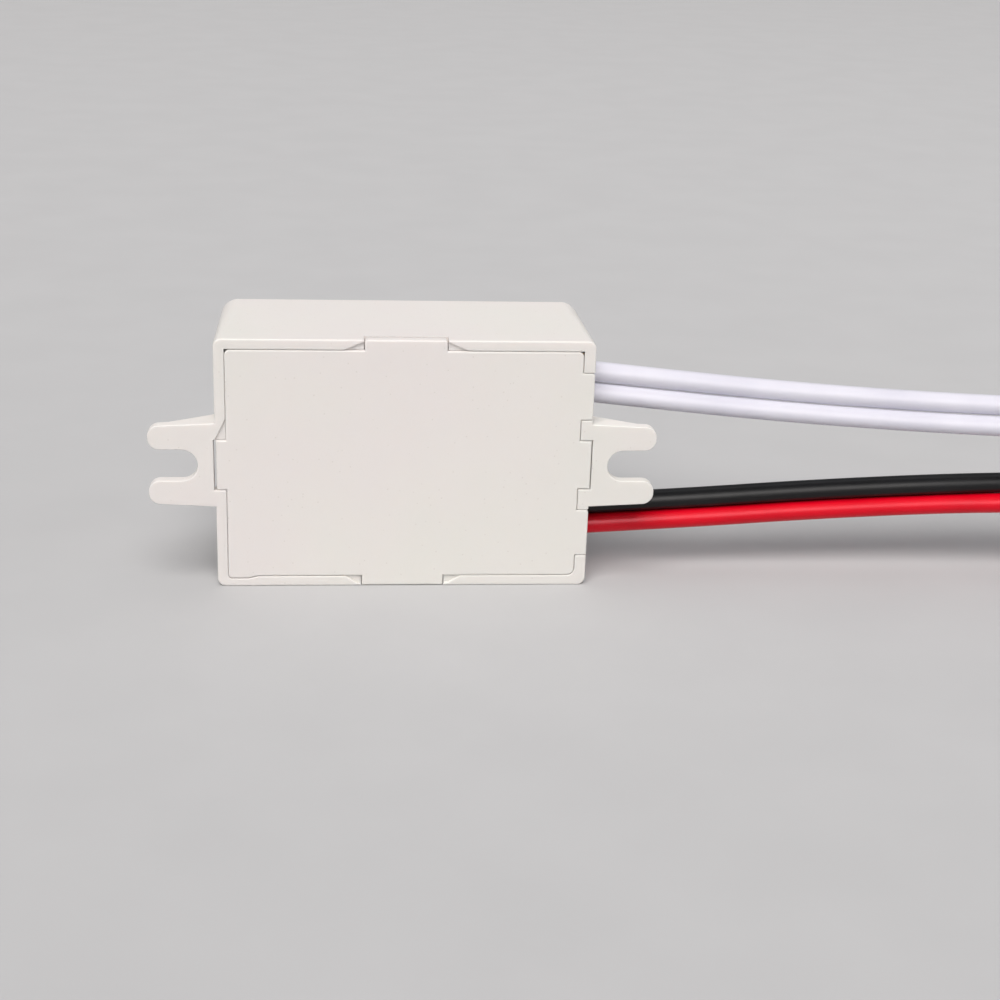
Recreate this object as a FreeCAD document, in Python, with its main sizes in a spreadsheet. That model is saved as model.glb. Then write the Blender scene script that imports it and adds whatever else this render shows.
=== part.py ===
import FreeCAD, Part
import Sketcher
import math
import os

# Sound and light sensor switch: a moulded plastic box with two slotted ears, a snap-in
# bottom cover, four leads, and the circuit board with its parts and relay inside.
# Row frame, millimetres: +X along the long side towards the leads, +Y from the bottom
# cover towards the sensor roof, +Z up. The box stands on one long side wall at z = 0.
# "depth" below is the distance from the outer face of the bottom cover.

V = FreeCAD.Vector
doc = FreeCAD.newDocument("sensor_switch")
sheet = doc.addObject("Spreadsheet::Sheet", "Sizes")

SIZES = [
    # case
    ("case_long", 46.2), ("case_high", 32.0), ("case_deep", 21.0),
    ("roof_round", 2.25), ("corner_round_rim", 1.0), ("corner_round_roof", 2.3), ("rim_round", 0.2),
    ("rim_soft", 0.12), ("cover_soft", 0.2), ("cover_corner", 0.7), ("tab_corner", 0.4),
    ("rim_wall", 1.3), ("wall", 1.7), ("roof", 1.3), ("seat_deep", 1.25),
    ("tab_notch_deep", 1.7), ("lead_notch_deep", 7.9),
    ("notch_low", 4.0), ("notch_low_top", 10.2), ("notch_high", 21.9), ("notch_high_top", 28.0),
    ("post_side", 2.4), ("board_seat", 4.7),
    # ears
    ("ear_thick", 1.4), ("ear_rib_deep", 3.8), ("ear_tip", 31.2), ("ear_base_half", 5.4),
    ("ear_tip_half", 5.0), ("ear_middle", 16.0), ("ear_rib_wide", 1.15), ("rib_end", 28.7),
    ("slot_half", 2.0), ("slot_centre", 27.2), ("prong_round", 1.42),
    # cover
    ("cover_thick", 1.2), ("cover_gap", 0.05), ("tab_half", 5.0), ("lip_thick", 0.8),
    ("lip_deep", 1.9), ("tongue_deep", 4.5), ("snap_deep", 6.5), ("snap_half", 4.2), ("bead_out", 0.1),
    # board
    ("board_long", 42.0), ("board_high", 28.0), ("board_thick", 1.6), ("pin_hole", 0.5), ("tail_hole", 0.62),
    # leads
    ("lead_thick", 2.58), ("wire_thick", 1.0),
    # sensors
    ("mic_radius", 3.0), ("mic_long", 5.0), ("light_radius", 2.5), ("light_thick", 2.0),
    ("port_radius", 1.1), ("window_radius", 2.75),
    # board parts
    ("film_long", 17.5), ("film_wide", 7.6), ("film_tall", 13.4),
    ("filter_radius", 4.0), ("filter_tall", 11.5), ("timing_radius", 2.5), ("timing_tall", 11.0),
    ("diode_radius", 1.35), ("diode_long", 5.2), ("resistor_radius", 1.15), ("resistor_long", 6.3),
    ("fuse_radius", 1.6), ("fuse_long", 9.0), ("zener_radius", 0.95), ("zener_long", 3.9),
    ("pin_radius", 0.3), ("thin_pin", 0.25), ("chip_long", 9.5), ("chip_wide", 6.4), ("chip_tall", 3.3),
    # relay
    ("relay_long", 19.4), ("relay_wide", 10.0), ("relay_tall", 13.6), ("relay_wall", 0.7),
    ("relay_base_thick", 1.8), ("coil_radius", 3.7), ("core_radius", 1.2), ("pole_radius", 2.6),
    ("plate_thick", 1.0), ("leaf_thick", 0.15), ("contact_radius", 1.1),
]
for row, (alias, value) in enumerate(SIZES):
    sheet.set("A%d" % (row + 1), alias)
    sheet.set("B%d" % (row + 1), str(value))
    sheet.setAlias("B%d" % (row + 1), alias)
doc.recompute()


class Q:
    """A size: its number, and the expression that ties it to the sheet."""

    def __init__(self, v, e):
        self.v = v
        self.e = e

    def __add__(self, o):
        o = quantity(o)
        return Q(self.v + o.v, "(%s + %s)" % (self.e, o.e))

    def __radd__(self, o):
        return quantity(o) + self

    def __sub__(self, o):
        o = quantity(o)
        return Q(self.v - o.v, "(%s - %s)" % (self.e, o.e))

    def __rsub__(self, o):
        return quantity(o) - self

    def __mul__(self, o):
        o = quantity(o)
        return Q(self.v * o.v, "(%s * %s)" % (self.e, o.e))

    def __rmul__(self, o):
        return quantity(o) * self

    def __truediv__(self, o):
        o = quantity(o)
        return Q(self.v / o.v, "(%s / %s)" % (self.e, o.e))

    def __neg__(self):
        return Q(-self.v, "(0 - %s)" % self.e)


def quantity(x):
    return x if isinstance(x, Q) else Q(float(x), "(%.6f)" % float(x) if float(x) >= 0 else "(0 - %.6f)" % -float(x))


S = {alias: Q(value, "Sizes." + alias) for alias, value in SIZES}
nodes = []


def bind(obj, prop, q):
    q = quantity(q)
    if "Sizes." in q.e:
        obj.setExpression(prop, q.e)
    elif "." in prop:
        obj.setExpression(prop, q.e)
    else:
        setattr(obj, prop, q.v)


def keep(obj, label):
    obj.Label = label
    nodes.append(obj)
    return obj


# ---------------------------------------------------------------- primitives in the row frame
HALF_DEEP = S["case_deep"] / 2


def place(obj, at, rotation=None):
    if rotation is not None:
        obj.Placement = FreeCAD.Placement(V(0, 0, 0), rotation)
    for axis, q in zip("xyz", at):
        bind(obj, "Placement.Base." + axis, q)


def at(x, depth, z):
    """A point from its place along the box, its depth behind the cover's face and its height."""
    return (quantity(x), quantity(depth) - HALF_DEEP, quantity(z))


AXES = {
    "Z": FreeCAD.Rotation(),
    "Y": FreeCAD.Rotation(V(1, 0, 0), -90),
    "X": FreeCAD.Rotation(V(0, 1, 0), 90),
}


def cylinder(name, radius, length, where, axis="Y"):
    o = doc.addObject("Part::Cylinder", name)
    bind(o, "Radius", radius)
    bind(o, "Height", length)
    place(o, where, AXES[axis])
    return o


def cone(name, first, second, length, where, axis="Y"):
    o = doc.addObject("Part::Cone", name)
    bind(o, "Radius1", first)
    bind(o, "Radius2", second)
    bind(o, "Height", length)
    place(o, where, AXES[axis])
    return o


def box(name, lx, ly, lz, where):
    o = doc.addObject("Part::Box", name)
    bind(o, "Length", lx)
    bind(o, "Width", ly)
    bind(o, "Height", lz)
    place(o, where)
    return o


def cut(name, base, tool):
    o = doc.addObject("Part::Cut", name)
    o.Base = base
    o.Tool = tool
    return o


def fuse(name, shapes):
    o = doc.addObject("Part::MultiFuse", name)
    o.Shapes = shapes
    return o


def group(name, shapes):
    o = doc.addObject("Part::Compound", name)
    o.Links = shapes
    return o


def round_edges(name, base, radius, test):
    """Rounds the edges of base that the test picks."""
    doc.recompute()
    o = doc.addObject("Part::Fillet", name)
    o.Base = base
    o.Edges = [(i + 1, radius, radius) for i, e in enumerate(base.Shape.Edges) if test(e)]
    doc.recompute()
    return o


def path_wire(points, radius=None):
    """Straight runs joined by tangent arcs through the given points. Returns the wire and the arc radii."""
    pts = [V(*p) for p in points]
    edges, radii = [], []
    start = pts[0]
    for i in range(1, len(pts) - 1):
        a, b, c = pts[i - 1], pts[i], pts[i + 1]
        u, w = (a - b), (c - b)
        lu, lw = u.Length, w.Length
        u.normalize()
        w.normalize()
        turn = math.pi - u.getAngle(w)
        r = radius if radius else 0.45 * min(lu, lw) / math.tan(turn / 2)
        reach = r * math.tan(turn / 2)
        p, q = b + u * reach, b + w * reach
        middle = b + (u + w).normalize() * (r / math.cos(turn / 2) - r)
        edges.append(Part.LineSegment(start, p).toShape())
        edges.append(Part.Arc(p, middle, q).toShape())
        radii.append(r)
        start = q
    edges.append(Part.LineSegment(start, pts[-1]).toShape())
    return Part.Wire(edges), radii


def tube(name, points, thickness, radius=None):
    """A round wire along a path, as a solid."""
    wire, radii = path_wire(points, radius)
    first = V(*points[1]) - V(*points[0])
    ring = Part.Wire([Part.Circle(V(*points[0]), first, thickness / 2.0).toShape()])
    solid = wire.makePipeShell([ring], True, False)
    o = doc.addObject("Part::Feature", name)
    o.Shape = solid
    o.Placement = FreeCAD.Placement(V(0, 0, 0), FreeCAD.Rotation())
    return o, wire.Length, radii, solid.Volume / (math.pi * (thickness / 2.0) ** 2 * wire.Length)


# ---------------------------------------------------------------- sketches for the moulded parts
# The moulded parts are drawn lying on the roof: local x is the row's X, local y is the row's Z,
# and local z is the height above the roof's outer face.
MOULD = FreeCAD.Rotation(V(1, 0, 0), 90)
BODIES = []


def body(name):
    b = doc.addObject("PartDesign::Body", name)
    b.Placement = FreeCAD.Placement(V(0, 0, 0), MOULD)
    bind(b, "Placement.Base.y", HALF_DEEP)
    BODIES.append(b)
    return b


def sketch(b, name, role="XY_Plane", offset=0):
    sk = b.newObject("Sketcher::SketchObject", name)
    plane = [f for f in b.Origin.OriginFeatures if f.Role == role][0]
    sk.AttachmentSupport = [(plane, "")]
    sk.MapMode = "FlatFace"
    bind(sk, "AttachmentOffset.Base.z", offset)
    return sk


def hold(sk, geo, point, x, y):
    """Ties a point of a sketch to its place, with the sheet's sizes."""
    for q, kind, line in ((quantity(x), "DistanceX", -2), (quantity(y), "DistanceY", -1)):
        if abs(q.v) < 1e-9:
            sk.addConstraint(Sketcher.Constraint("PointOnObject", geo, point, line))
            continue
        if q.v > 0:
            i = sk.addConstraint(Sketcher.Constraint(kind, -1, 1, geo, point, q.v))
            e = q.e
        else:
            i = sk.addConstraint(Sketcher.Constraint(kind, geo, point, -1, 1, -q.v))
            e = (-q).e
        if "Sizes." in e:
            sk.setExpression("Constraints[%d]" % i, e)


def loop(sk, points):
    """A closed outline of straight lines, every corner held."""
    pts = [(quantity(x), quantity(y)) for x, y in points]
    first = sk.GeometryCount
    n = len(pts)
    for i in range(n):
        a, b = pts[i], pts[(i + 1) % n]
        sk.addGeometry(Part.LineSegment(V(a[0].v, a[1].v, 0), V(b[0].v, b[1].v, 0)), False)
    for i in range(n):
        sk.addConstraint(Sketcher.Constraint("Coincident", first + i, 2, first + (i + 1) % n, 1))
    for i in range(n):
        hold(sk, first + i, 1, pts[i][0], pts[i][1])


def rectangle(sk, x0, y0, x1, y1):
    loop(sk, [(x0, y0), (x1, y0), (x1, y1), (x0, y1)])


def circle(sk, x, y, radius):
    radius = quantity(radius)
    g = sk.addGeometry(Part.Circle(V(quantity(x).v, quantity(y).v, 0), V(0, 0, 1), radius.v), False)
    i = sk.addConstraint(Sketcher.Constraint("Radius", g, radius.v))
    if "Sizes." in radius.e:
        sk.setExpression("Constraints[%d]" % i, radius.e)
    hold(sk, g, 3, x, y)


def pad(b, sk, length, downwards=False):
    o = b.newObject("PartDesign::Pad", "Pad")
    o.Profile = sk
    bind(o, "Length", length)
    o.Reversed = downwards
    doc.recompute()
    return o


def pocket(b, sk, length, upwards=False):
    """Cuts from the sketch towards the roof, or away from it."""
    before = b.Shape.Volume
    o = b.newObject("PartDesign::Pocket", "Pocket")
    o.Profile = sk
    bind(o, "Length", length)
    o.Reversed = upwards
    doc.recompute()
    if b.Shape.Volume >= before - 1e-6:
        raise RuntimeError("pocket on %s cut nothing" % sk.Name)
    return o


def pick(shape, test):
    return ["Edge%d" % (i + 1) for i, e in enumerate(shape.Edges) if test(e)]


def round_body(b, radius, test):
    base = b.Tip
    names = pick(base.Shape, test)
    if not names:
        raise RuntimeError("no edges to round")
    o = b.newObject("PartDesign::Fillet", "Fillet")
    o.Base = (base, names)
    bind(o, "Radius", radius)
    doc.recompute()
    if "Invalid" in o.State or "Error" in o.State or o.Shape.isNull() or not o.Shape.isValid():
        raise RuntimeError("a rounding failed on %s" % b.Name)
    return o


def near(a, b, tol=1e-4):
    return abs(a - b) < tol


def crease(shape, e):
    """The angle in degrees between the two faces that meet along an edge."""
    faces = [f for f in shape.Faces if any(e.isSame(x) for x in f.Edges)]
    if len(faces) != 2:
        return 0.0
    p = e.valueAt((e.FirstParameter + e.LastParameter) / 2)
    first, second = (f.normalAt(*f.Surface.parameter(p)) for f in faces)
    return math.degrees(first.getAngle(second))


def soften_front(b, radius):
    """Takes the sharpness off every edge of the face that the cover lies in."""
    shape = b.Tip.Shape
    return round_body(b, radius, lambda e: near(e.BoundBox.ZMin, DEEP.v) and near(e.BoundBox.ZMax, DEEP.v)
                      and e.Length > 0.15 and crease(shape, e) > 20)


LONG, HIGH, DEEP = S["case_long"], S["case_high"], S["case_deep"]
HALF = LONG / 2
INNER = HALF - S["wall"]
SEAT = HALF - S["rim_wall"]
SEAT_R = SEAT - 0.13  # the rim is a little wider at the leads' end
TAB = S["tab_half"]

# ================================================================ case shell
# One moulding: roof, four walls, two ears with open slots, board posts, rings that centre the
# microphone and the light sensor, and the notches that the cover's tabs and the leads lie in.
# The block it starts from has upright corners that are rounder at the roof than at the rim.
blank = doc.addObject("Part::Box", "shell_blank")
bind(blank, "Length", LONG)
bind(blank, "Width", HIGH)
bind(blank, "Height", DEEP)
bind(blank, "Placement.Base.x", -HALF)
doc.recompute()
blank_round = doc.addObject("Part::Fillet", "shell_blank_round")
blank_round.Base = blank
blank_round.Edges = [(i + 1, S["corner_round_rim"].v, S["corner_round_roof"].v) if e.Vertexes[0].Point.z < 1
                     else (i + 1, S["corner_round_roof"].v, S["corner_round_rim"].v)
                     for i, e in enumerate(blank.Shape.Edges) if e.BoundBox.ZLength > 10]
doc.recompute()
at_roof = blank_round.Shape.slice(V(0, 0, 1), 0.5)[0]
if min(e.BoundBox.XLength for e in at_roof.Edges if e.BoundBox.XLength > 0.01) < 2:
    raise RuntimeError("the corners are rounder at the rim than at the roof")
shell = body("case_shell_body")
shell.BaseFeature = blank_round
doc.recompute()
round_body(shell, S["roof_round"], lambda e: near(e.BoundBox.ZMax, 0))
round_body(shell, S["rim_round"], lambda e: near(e.BoundBox.ZMin, DEEP.v))

# ears: full depth of their ribs first, then cut back to the plate
sk = sketch(shell, "ear_outline", offset=DEEP)
mid, bh, th = S["ear_middle"], S["ear_base_half"], S["ear_tip_half"]
for sign in (1, -1):
    root, tip = (HALF - 0.8) * sign, S["ear_tip"] * sign
    wall_face = HALF * sign
    loop(sk, [(root, mid - bh), (wall_face, mid - bh), (tip, mid - th), (tip, mid + th), (wall_face, mid + bh), (root, mid + bh)])
pad(shell, sk, S["ear_rib_deep"], downwards=True)
# the ribs slope from the wall down to the plate
sk = sketch(shell, "ear_rib_slope", role="XZ_Plane", offset=-(mid - 8))
plate_h, rib_h = DEEP - S["ear_thick"], DEEP - S["ear_rib_deep"]
for sign in (1, -1):
    loop(sk, [(HALF * sign, rib_h), (S["rib_end"] * sign, plate_h), ((S["ear_tip"] + 0.5) * sign, plate_h),
              ((S["ear_tip"] + 0.5) * sign, rib_h - 0.5), (HALF * sign, rib_h - 0.5)])
pocket(shell, sk, 16.0)
sk = sketch(shell, "ear_back", offset=rib_h - 0.2)
for sign in (1, -1):
    rectangle(sk, HALF * sign, mid - bh + S["ear_rib_wide"], (S["ear_tip"] + 0.5) * sign, mid + bh - S["ear_rib_wide"])
pocket(shell, sk, S["ear_rib_deep"] - S["ear_thick"] + 0.2, upwards=True)
sk = sketch(shell, "ear_slots", offset=DEEP)
for sign in (1, -1):
    rectangle(sk, S["slot_centre"] * sign, mid - S["slot_half"], (S["ear_tip"] + 0.5) * sign, mid + S["slot_half"])
pocket(shell, sk, 4.0)
sk = sketch(shell, "ear_slot_ends", offset=DEEP)
for sign in (1, -1):
    circle(sk, S["slot_centre"] * sign, mid, S["slot_half"])
pocket(shell, sk, 4.0)
round_body(shell, S["prong_round"], lambda e: e.BoundBox.ZLength > 0.9 and e.BoundBox.XLength < 1e-4 and e.BoundBox.YLength < 1e-4
           and near(abs(e.BoundBox.XMin), S["ear_tip"].v, 0.01))

# inside of the box, and the wider seat for the cover
sk = sketch(shell, "cavity", offset=DEEP)
rectangle(sk, -INNER, S["wall"], INNER, HIGH - S["wall"])
pocket(shell, sk, DEEP - S["roof"])
round_body(shell, 1.0, lambda e: near(e.BoundBox.ZMin, S["roof"].v) and near(e.BoundBox.ZMax, S["roof"].v))
sk = sketch(shell, "cover_seat", offset=DEEP)
rectangle(sk, -SEAT, S["rim_wall"], SEAT_R, HIGH - S["rim_wall"])
pocket(shell, sk, S["seat_deep"])
round_body(shell, 0.95, lambda e: near(e.BoundBox.ZLength, S["seat_deep"].v) and near(e.BoundBox.XMin, SEAT_R.v) and e.BoundBox.YMax < 5)
# the seat is let a little further into the rim near one lower corner
sk = sketch(shell, "seat_step", offset=DEEP)
loop(sk, [(-SEAT, 1.0), (-19.2, 1.0), (-17.9, S["rim_wall"] + 0.05), (-SEAT, S["rim_wall"] + 0.05)])
pocket(shell, sk, S["seat_deep"])
round_body(shell, 0.5, lambda e: near(e.BoundBox.ZLength, S["seat_deep"].v) and near(e.BoundBox.XMin, -SEAT.v) and near(e.BoundBox.YMin, 1.0) and e.BoundBox.YLength < 1e-4)

# board posts in the four corners, up to the board's component side
post_top = DEEP - S["board_seat"]
sk = sketch(shell, "board_posts", offset=S["roof"] - 0.2)
side = S["post_side"]
rectangle(sk, -INNER - 0.2, S["wall"] - 0.2, -INNER + side, S["wall"] + side)
rectangle(sk, INNER + 0.2, S["wall"] - 0.2, INNER - side, S["wall"] + side)
rectangle(sk, -INNER - 0.2, HIGH - S["wall"] + 0.2, -INNER + side, HIGH - S["wall"] - side)
rectangle(sk, INNER + 0.2, HIGH - S["wall"] + 0.2, INNER - side, HIGH - S["wall"] - 1.7)
pad(shell, sk, post_top - S["roof"] + 0.2)

# rings under the roof that centre the microphone and the light sensor, and their openings
MIC = (-15.5, 24.3)
LIGHT = (-8.0, 24.3)
sk = sketch(shell, "sensor_rings", offset=S["roof"] - 0.2)
circle(sk, MIC[0], MIC[1], S["mic_radius"] + 0.85)
circle(sk, MIC[0], MIC[1], S["mic_radius"] + 0.15)
pad(shell, sk, 2.2)
sk = sketch(shell, "light_ring", offset=S["roof"] - 0.2)
circle(sk, LIGHT[0], LIGHT[1], S["window_radius"] + 0.75)
pad(shell, sk, 1.4)
sk = sketch(shell, "roof_openings", offset=4.0)
circle(sk, MIC[0], MIC[1], S["port_radius"])
circle(sk, LIGHT[0], LIGHT[1], S["window_radius"])
pocket(shell, sk, 5.0)
# a shallow dish round the microphone port
sk = sketch(shell, "port_dish", offset=0.4)
circle(sk, MIC[0], MIC[1], 2.3)
pocket(shell, sk, 1.0)

# notches for the cover's tabs
sk = sketch(shell, "tab_notches", offset=DEEP)
rectangle(sk, -TAB - 0.1, HIGH - S["wall"] - 0.1, TAB + 0.1, HIGH + 0.5)
rectangle(sk, -TAB - 0.3, -0.5, TAB + 0.1, S["wall"] + 0.1)
rectangle(sk, -HALF - 0.18, 12.75, -INNER + 0.1, 19.25)
rectangle(sk, INNER - 0.1, 12.88, HALF + 0.12, 19.32)
pocket(shell, sk, S["tab_notch_deep"])
# notches for the two pairs of leads
sk = sketch(shell, "lead_notches", offset=DEEP)
rectangle(sk, INNER - 0.1, S["notch_low"], HALF + 0.5, S["notch_low_top"])
rectangle(sk, INNER - 0.1, S["notch_high"], HALF + 0.5, S["notch_high_top"])
pocket(shell, sk, S["lead_notch_deep"])
notch_floor = DEEP.v - S["lead_notch_deep"].v
round_body(shell, 1.0, lambda e: near(e.BoundBox.ZMin, notch_floor) and near(e.BoundBox.ZMax, notch_floor)
           and near(e.BoundBox.XLength, 1.7, 0.05) and e.BoundBox.XMin > 20)
# small sloped reliefs in the rim beside the tabs, where a blade prises the cover out
sk = sketch(shell, "rim_reliefs", offset=DEEP)
loop(sk, [(-7.6, HIGH - S["rim_wall"] - 0.05), (-TAB - 0.05, HIGH - S["rim_wall"] - 0.05), (-TAB - 0.05, HIGH - 0.27)])
loop(sk, [(7.6, HIGH - S["rim_wall"] - 0.05), (TAB + 0.05, HIGH - S["rim_wall"] - 0.05), (TAB + 0.05, HIGH - 0.27)])
loop(sk, [(-7.3, S["rim_wall"] + 0.05), (-TAB - 0.25, S["rim_wall"] + 0.05), (-TAB - 0.25, 0.27), (-5.9, 0.42)])
loop(sk, [(7.3, S["rim_wall"] + 0.05), (TAB + 0.05, S["rim_wall"] + 0.05), (TAB + 0.05, 0.27), (5.7, 0.42)])
loop(sk, [(-SEAT + 0.05, 22.0), (-SEAT + 0.05, 19.0), (-HALF - 0.12, 19.0)])
pocket(shell, sk, 0.3)
# grooves that the beads of the snap tongues sit in
sk = sketch(shell, "bead_grooves", offset=DEEP - 4.9)
rectangle(sk, -S["snap_half"] - 0.3, HIGH - S["wall"] - 0.05, S["snap_half"] + 0.3, HIGH - S["wall"] + 0.4)
rectangle(sk, -S["snap_half"] - 0.3, S["wall"] + 0.05, S["snap_half"] + 0.3, S["wall"] - 0.4)
pocket(shell, sk, 1.7)
soften_front(shell, S["rim_soft"])
keep(shell, "case_shell")

# ================================================================ bottom cover
gap = S["cover_gap"]
board_out_deep = S["board_seat"] - S["board_thick"] - 0.03
cover = body("bottom_cover_body")
face = DEEP
px0, px1 = -SEAT + 0.03, SEAT_R - gap
pz0, pz1 = S["rim_wall"] + gap, HIGH - S["rim_wall"] - gap
sk = sketch(cover, "cover_outline", offset=face)
loop(sk, [
    (px0, 1.06), (-19.35, 1.06), (-18.1, pz0),
    (-TAB - 0.2, pz0), (-TAB - 0.2, 0.06), (TAB, 0.06), (TAB, pz0),
    (px1, pz0), (px1, S["notch_low"] + gap), (HALF, S["notch_low"] + gap), (HALF, S["notch_low_top"] - gap),
    (px1, S["notch_low_top"] - gap), (px1, 12.96), (HALF + 0.02, 12.96), (HALF + 0.02, 19.24), (px1, 19.24),
    (px1, S["notch_high"] + gap), (HALF, S["notch_high"] + gap), (HALF, S["notch_high_top"] - gap),
    (px1, S["notch_high_top"] - gap), (px1, pz1), (TAB, pz1), (TAB, HIGH - 0.02), (-TAB, HIGH - 0.02), (-TAB, pz1),
    (px0, pz1), (px0, 19.2), (-HALF + 0.11, 19.2), (-HALF + 0.11, 12.8), (px0, 12.8),
])
pad(cover, sk, S["cover_thick"], downwards=True)
round_body(cover, S["cover_corner"], lambda e: e.BoundBox.ZLength > 1 and abs(e.BoundBox.XMin) > 21 and near(e.BoundBox.YMin, pz1.v))
round_body(cover, 0.9, lambda e: e.BoundBox.ZLength > 1 and near(e.BoundBox.YMin, pz0.v) and near(e.BoundBox.XMin, px1.v))
# short locating lip behind the plate, which also keeps the board down on its posts
under = face - S["cover_thick"]
lip_x, lip_z0, lip_z1 = INNER - 0.12, S["wall"] + 0.12, HIGH - S["wall"] - 0.12
sk = sketch(cover, "lip", offset=under + 0.1)
rectangle(sk, -lip_x, lip_z0, lip_x, lip_z1)
rectangle(sk, -lip_x + S["lip_thick"], lip_z0 + S["lip_thick"], lip_x - S["lip_thick"], lip_z1 - S["lip_thick"])
pad(cover, sk, S["lip_deep"] - S["cover_thick"] + 0.1, downwards=True)
# four pads in the lip's corners that press the board's corners onto its posts
sk = sketch(cover, "corner_pads", offset=under + 0.1)
for sx in (1, -1):
    rectangle(sk, lip_x * sx, lip_z0, (lip_x - 1.9) * sx, lip_z0 + 1.9)
    rectangle(sk, lip_x * sx, lip_z1, (lip_x - 1.9) * sx, lip_z1 - 1.9)
pad(cover, sk, board_out_deep - S["cover_thick"] + 0.1, downwards=True)
# tongues that close the lead notches down to the leads
sk = sketch(cover, "lead_tongues", offset=under + 0.1)
rectangle(sk, INNER + 0.15, S["notch_low"] + gap, HALF, S["notch_low_top"] - gap)
rectangle(sk, INNER + 0.15, S["notch_high"] + gap, HALF, S["notch_high_top"] - gap)
pad(cover, sk, S["tongue_deep"] - S["cover_thick"] + 0.1, downwards=True)
# snap tongues with their beads
sk = sketch(cover, "snap_tongues", offset=under + 0.1)
rectangle(sk, -S["snap_half"], HIGH - S["wall"] - 0.2, S["snap_half"], HIGH - S["wall"] - 1.05)
rectangle(sk, -S["snap_half"], S["wall"] + 0.2, S["snap_half"], S["wall"] + 1.05)
pad(cover, sk, S["snap_deep"] - S["cover_thick"] + 0.1, downwards=True)
sk = sketch(cover, "snap_beads", offset=face - 5.2)
rectangle(sk, -S["snap_half"] + 0.2, HIGH - S["wall"] - 0.2 + S["bead_out"], S["snap_half"] - 0.2, HIGH - S["wall"] - 0.4)
rectangle(sk, -S["snap_half"] + 0.2, S["wall"] + 0.2 - S["bead_out"], S["snap_half"] - 0.2, S["wall"] + 0.4)
pad(cover, sk, 0.9, downwards=True)
# the tabs' outer corners
round_body(cover, S["tab_corner"], lambda e: e.BoundBox.ZLength > 1 and e.BoundBox.XLength < 1e-4 and e.BoundBox.YLength < 1e-4 and (
    (near(e.BoundBox.YMin, HIGH.v - 0.02) and near(abs(e.BoundBox.XMin), TAB.v))
    or (near(e.BoundBox.XMin, HALF.v) and (near(e.BoundBox.YMin, S["notch_high_top"].v - gap.v) or near(e.BoundBox.YMin, S["notch_low_top"].v - gap.v)))))
round_body(cover, 0.45, lambda e: near(e.BoundBox.ZLength, S["cover_thick"].v) and near(e.BoundBox.XMin, px0.v) and near(e.BoundBox.YMin, 1.06) and e.BoundBox.YLength < 1e-4)
soften_front(cover, S["cover_soft"])
keep(cover, "bottom_cover")

# ================================================================ board parts
# Pins are listed as they are made: place on the board and radius, for the board's holes and joints.
pins = []
board_in = S["board_seat"]              # component side
board_out = board_in - S["board_thick"]  # solder side


def pin(name, x, z, top, radius, foot=None):
    """A straight pin from the solder side of the board up to a depth."""
    r = quantity(radius).v
    pins.append((x, z, r, foot if foot else r + 0.5))
    return cylinder(name, radius, quantity(top) - board_out, at(x, board_out, z))


def axial_wire(name, x, z, half_body, half_pitch, depth, radius, along="X", foot=None):
    """The two bent wires of an axial part that lies on the board."""
    out = []
    for sign in (1, -1):
        d0, r = -HALF_DEEP.v, quantity(radius).v
        if along == "X":
            a, b, c = (x + sign * half_body, depth + d0, z), (x + sign * half_pitch, depth + d0, z), (x + sign * half_pitch, board_out.v + d0, z)
        else:
            a, b, c = (x, depth + d0, z + sign * half_body), (x, depth + d0, z + sign * half_pitch), (x, board_out.v + d0, z + sign * half_pitch)
        pins.append((b[0], b[2], r, foot if foot else r + 0.5))
        o, _, _, _ = tube(name, [a, b, c], 2 * r, radius=0.55)
        out.append(o)
    return out


# film capacitor, the mains dropper: a boxed block standing on the board
fx, fz = 5.15, 24.1
film = box("film_block", S["film_long"], S["film_tall"], S["film_wide"],
           at(fx - S["film_long"] / 2, board_in + 0.2, fz - S["film_wide"] / 2))
film = round_edges("film_rounded", film, 0.6, lambda e: True)
keep(film, "film_capacitor")
keep(group("film_legs_group", [pin("film_leg", fx - 7.5, fz, board_in + 0.2, S["pin_radius"]),
                              pin("film_leg", fx + 7.5, fz, board_in + 0.2, S["pin_radius"])]), "film_capacitor_legs")

# filter capacitor: aluminium can in a printed-free sleeve on a rubber bung
cx, cz = -15.7, 7.4
can_in = board_in + 0.1
bung = cylinder("bung", S["filter_radius"] - 0.35, 1.2, at(cx, can_in, cz))
keep(bung, "filter_capacitor_bung")
can = cylinder("can", S["filter_radius"] - 0.15, S["filter_tall"] - 1.2, at(cx, can_in + 1.2, cz))
can = round_edges("can_rounded", can, 0.4, lambda e: near(e.BoundBox.YLength, 0) and e.BoundBox.YMin > 0)
keep(can, "filter_capacitor_can")
sleeve = cut("sleeve_cut",
             cylinder("sleeve_outer", S["filter_radius"], S["filter_tall"] - 0.8, at(cx, can_in + 0.2, cz)),
             cylinder("sleeve_inner", S["filter_radius"] - 0.14, S["filter_tall"], at(cx, can_in, cz)))
keep(sleeve, "filter_capacitor_sleeve")
keep(group("filter_legs_group", [pin("filter_leg", cx - 1.75, cz, can_in, S["pin_radius"]),
                                pin("filter_leg", cx + 1.75, cz, can_in, S["pin_radius"])]), "filter_capacitor_legs")

# timing capacitor
tx, tz = -8.5, 5.2
timing = cylinder("timing", S["timing_radius"], S["timing_tall"], at(tx, can_in, tz))
timing = round_edges("timing_rounded", timing, 0.35, lambda e: near(e.BoundBox.YLength, 0))
keep(timing, "timing_capacitor")
keep(group("timing_legs_group", [pin("timing_leg", tx - 1.0, tz, can_in, S["thin_pin"]),
                                pin("timing_leg", tx + 1.0, tz, can_in, S["thin_pin"])]), "timing_capacitor_legs")

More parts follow.
